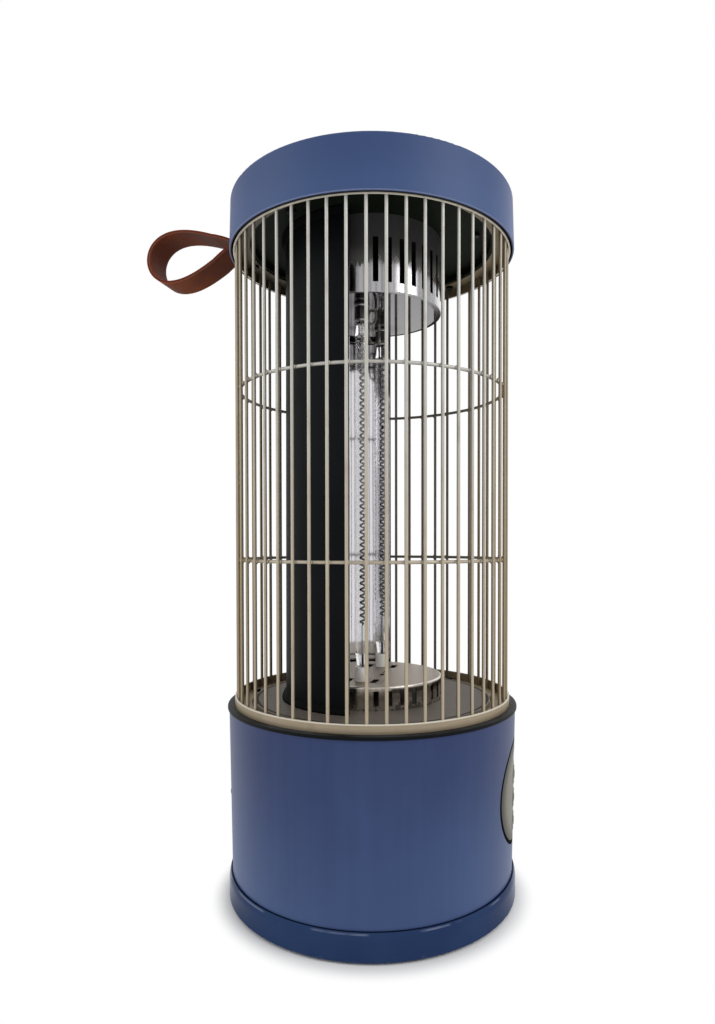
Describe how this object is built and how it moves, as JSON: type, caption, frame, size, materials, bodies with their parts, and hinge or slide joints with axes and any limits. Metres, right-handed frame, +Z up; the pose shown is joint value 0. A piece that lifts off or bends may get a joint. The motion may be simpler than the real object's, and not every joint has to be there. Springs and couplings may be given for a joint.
{
  "type": "portable electric heater",
  "caption": "Lantern-shaped radiant electric heater: drum base with front panel, wire cage round quartz lamps and a half-round mirror, cap with a leather carry strap.",
  "frame": {"origin": "on the floor, on the axis of the drum and cage, under the rubber feet", "axes": "+Z up along the drum axis; -Y to the front with the control panel and open mirror side; +Y to the back with the carry strap and the cable gland"},
  "size_m": [0.2336, 0.3172, 0.5521],
  "materials": {
    "blue_paint": "satin",
    "blue_cap": "satin",
    "blue_gloss": "gloss",
    "black_trim": "satin",
    "dark_deck": "gloss",
    "champagne_wire": "satin",
    "black_shell": "satin",
    "black_ceiling": "gloss",
    "polished_aluminium": "polished",
    "chrome": "polished",
    "quartz": "clear",
    "coil_metal": "dark",
    "ceramic": "matt",
    "leather": "satin",
    "rubber": "matt",
    "steel": "satin",
    "champagne_panel": "satin",
    "smoked_lens": "gloss",
    "board": "matt",
    "black_plastic": "matt",
    "white_plastic": "matt"
  },
  "bodies": {
    "frame": {"base_pan": "blue_gloss", "rubber_feet": "rubber", "base_screws": "steel", "drum_shell": "blue_paint", "trim_ring": "black_trim", "deck_plate": "dark_deck", "cage_wires": "champagne_wire", "cage_lower_hoop": "champagne_wire", "cage_upper_hoop": "champagne_wire", "cage_lower_ring": "champagne_wire", "cage_upper_ring": "champagne_wire", "cage_screws": "steel", "top_cap": "blue_cap", "ceiling_plate": "black_ceiling", "cap_screws": "steel", "strap_tail": "leather", "strap_clamp": "steel", "strap_screws": "steel", "lamp_deck": "chrome", "lamp_cup": "chrome", "reflector_mirror": "polished_aluminium", "reflector_shell": "black_shell", "shell_flanges": "black_shell", "lower_lamp_bracket": "steel", "upper_lamp_bracket": "steel", "lower_ceramics": "ceramic", "upper_ceramics": "ceramic", "quartz_tube_left": "quartz", "quartz_tube_right": "quartz", "heating_coil_left": "coil_metal", "heating_coil_right": "coil_metal", "panel_bezel": "black_plastic", "panel_plate": "champagne_panel", "indicator_lens": "smoked_lens", "control_board": "board", "board_switches": "black_plastic", "cable_gland": "black_plastic", "gland_nut": "black_plastic", "terminal_block": "white_plastic", "thermal_cutout": "ceramic", "plunger_spring": "steel", "tip_switch": "black_plastic"},
    "strap": {"carry_strap": "leather"},
    "tip_foot": {"tip_plunger": "black_plastic"},
    "power_key": {"power_button": "champagne_panel"},
    "heat_key": {"heat_button": "champagne_panel"},
    "timer_key": {"timer_button": "champagne_panel"}
  },
  "joints": [
    {"name": "strap_flex", "type": "hinge", "parent": "frame", "child": "strap", "pos_m": [0, 0.11743, 0.5348], "axis": [1, 0, 0], "range_deg": [-40, 70], "stiffness_Nm_per_rad": 0.4, "springref_deg": 1.72},
    {"name": "tip_slide", "type": "slide", "parent": "frame", "child": "tip_foot", "axis": [0, 0, -1], "range_m": [0, 0.005], "stiffness_N_per_m": 150, "springref_m": 0.01, "deforming": ["plunger_spring"]},
    {"name": "power_press", "type": "slide", "parent": "frame", "child": "power_key", "axis": [0, 1, 0], "range_m": [0, 0.0012], "stiffness_N_per_m": 900, "springref_m": -0.0004},
    {"name": "heat_press", "type": "slide", "parent": "frame", "child": "heat_key", "axis": [0, 1, 0], "range_m": [0, 0.0012], "stiffness_N_per_m": 900, "springref_m": -0.0004},
    {"name": "timer_press", "type": "slide", "parent": "frame", "child": "timer_key", "axis": [0, 1, 0], "range_m": [0, 0.0012], "stiffness_N_per_m": 900, "springref_m": -0.0004}
  ]
}
